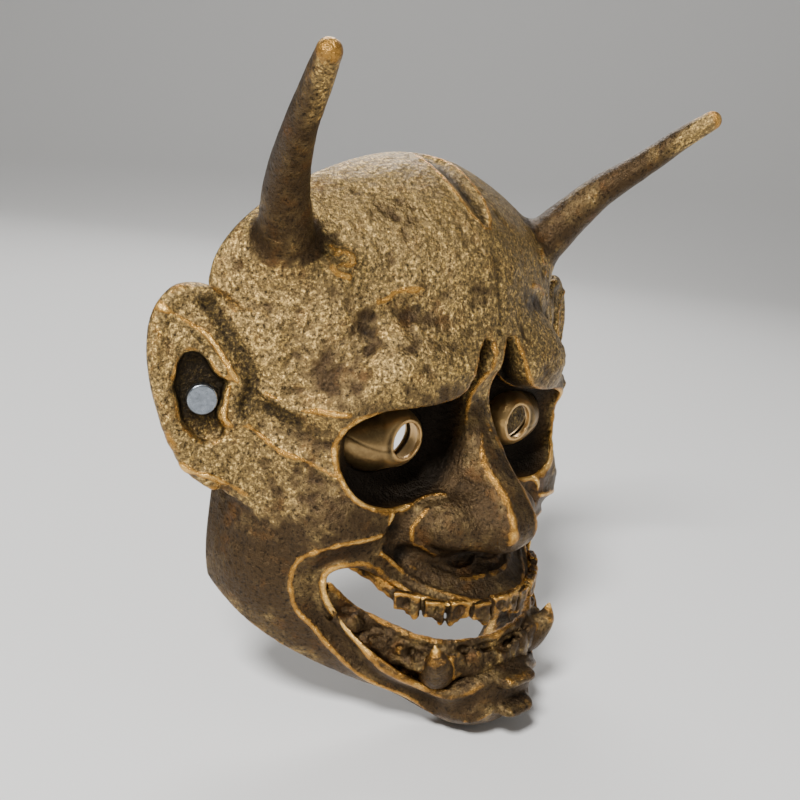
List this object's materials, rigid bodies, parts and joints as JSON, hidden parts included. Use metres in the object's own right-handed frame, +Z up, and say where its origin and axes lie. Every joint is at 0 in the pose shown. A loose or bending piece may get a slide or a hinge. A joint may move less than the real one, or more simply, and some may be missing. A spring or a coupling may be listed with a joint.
{
  "type": "noh mask",
  "caption": "Horned grinning demon noh mask in patinated bronze, with hollow back, pierced pupils, open toothed mouth, flared ears and swivelling cord links.",
  "frame": {"origin": "in the plane of the rear rim, on the mask's middle plane, at the height of the pupils", "axes": "-Y is the way the face looks, +Y points back out of the hollow to the wearer, +Z is up to the crown, +X is to the wearer's left"},
  "size_m": [0.222, 0.0905, 0.2337],
  "materials": {
    "patina_bronze": "antique patina, rubbed bright on the edges",
    "eye_brass": "smooth aged satin",
    "tooth_bronze": "dark patina with rubbed tips",
    "rivet_steel": "satin",
    "link_steel": "dull",
    "steel": "plated"
  },
  "bodies": {
    "mask": {"mask_shell": "patina_bronze", "upper_teeth": "tooth_bronze", "lower_teeth": "tooth_bronze", "horn_left": "patina_bronze", "horn_right": "patina_bronze", "horn_screw_left": "steel", "horn_screw_right": "steel", "horn_washer_left": "steel", "horn_washer_right": "steel", "eye_left": "eye_brass", "eye_right": "eye_brass", "fang_left": "tooth_bronze", "fang_right": "tooth_bronze", "ear_rivet_left": "rivet_steel", "ear_rivet_right": "rivet_steel", "rivet_burr_left": "rivet_steel", "rivet_burr_right": "rivet_steel"},
    "link_left": {"cord_link_left": "link_steel"},
    "link_right": {"cord_link_right": "link_steel"}
  },
  "joints": [
    {"name": "cord_link_left_swivel", "type": "hinge", "parent": "mask", "child": "link_left", "pos_m": [0.09148, -0.00608, 0.012], "axis": [0.5, -0.866, 0], "range_deg": [-20, 100]},
    {"name": "cord_link_right_swivel", "type": "hinge", "parent": "mask", "child": "link_right", "pos_m": [-0.09148, -0.00608, 0.012], "axis": [0.5, 0.866, 0], "range_deg": [-20, 100]}
  ]
}
